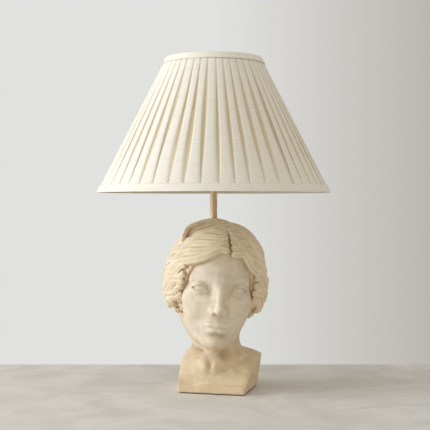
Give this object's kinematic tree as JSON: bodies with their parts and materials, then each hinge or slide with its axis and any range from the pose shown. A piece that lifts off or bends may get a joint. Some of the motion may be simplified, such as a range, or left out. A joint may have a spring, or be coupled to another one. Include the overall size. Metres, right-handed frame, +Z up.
{
  "type": "bust table lamp",
  "caption": "Table lamp with a cast classical head on a square-cut plinth, a short stem and harp, and a pleated linen empire shade.",
  "frame": {"origin": "on the table plane under the axis of the stem and the shade", "axes": "+Z up along the stem; the plinth's front faces -Y; +X is to the right of someone who faces the front"},
  "size_m": [0.4059, 0.406, 0.581],
  "materials": {
    "cast_stone": "cast stone resin, matt, warm beige with a worn whitish face",
    "felt": "dark pressed felt",
    "zinc_steel": "zinc plated",
    "black_plastic": "moulded phenolic",
    "satin_brass": "satin lacquered, pale antique tone",
    "socket_brass": "rolled brass",
    "card": "pressed insulating card",
    "aluminium_shell": "rolled thread",
    "opal_glass": "opal, smooth",
    "solder": "dull solder",
    "styrene": "white, matt",
    "linen": "natural linen, plain weave"
  },
  "bodies": {
    "base": {"bust": "cast_stone", "felt_pad": "felt", "base_plate": "zinc_steel", "bottom_washer": "zinc_steel", "bottom_nut": "zinc_steel", "lamp_pipe": "zinc_steel", "cord_bushing": "black_plastic", "stem_tube": "satin_brass", "harp_saddle": "satin_brass", "harp": "satin_brass", "harp_stud": "satin_brass", "socket_cap": "socket_brass", "cap_screw": "zinc_steel", "socket_shell": "socket_brass", "socket_liner": "card", "socket_body": "black_plastic", "terminal_screws": "socket_brass", "screw_shell": "aluminium_shell", "centre_contact": "socket_brass"},
    "left_sleeve": {"sleeve_left": "satin_brass"},
    "right_sleeve": {"sleeve_right": "satin_brass"},
    "switch": {"switch_shaft": "socket_brass", "switch_knob": "black_plastic"},
    "bulb": {"bulb_glass": "opal_glass", "bulb_cap": "aluminium_shell", "bulb_contact": "solder"},
    "shade": {"spider_washer": "satin_brass", "spider_arms": "satin_brass", "top_ring": "satin_brass", "bottom_ring": "satin_brass", "shade_liner": "styrene", "pleated_cover": "linen", "top_band": "linen", "bottom_band": "linen"},
    "finial": {"finial": "satin_brass"}
  },
  "joints": [
    {"name": "shade_turn", "type": "hinge", "parent": "base", "child": "shade", "pos_m": [0, 0, 0.561], "axis": [0, 0, 1], "continuous": true},
    {"name": "finial_turn", "type": "hinge", "parent": "base", "child": "finial", "pos_m": [0, 0, 0.5625], "axis": [0, 0, 1], "continuous": true},
    {"name": "bulb_turn", "type": "hinge", "parent": "base", "child": "bulb", "pos_m": [0, 0, 0.4], "axis": [0, 0, 1], "continuous": true},
    {"name": "switch_turn", "type": "hinge", "parent": "base", "child": "switch", "pos_m": [0, -0.02, 0.3885], "axis": [0, -1, 0], "continuous": true},
    {"name": "left_sleeve_lift", "type": "slide", "parent": "base", "child": "left_sleeve", "axis": [0, 0, 1], "range_m": [0, 0.012]},
    {"name": "right_sleeve_lift", "type": "slide", "parent": "base", "child": "right_sleeve", "axis": [0, 0, 1], "range_m": [0, 0.012]}
  ]
}
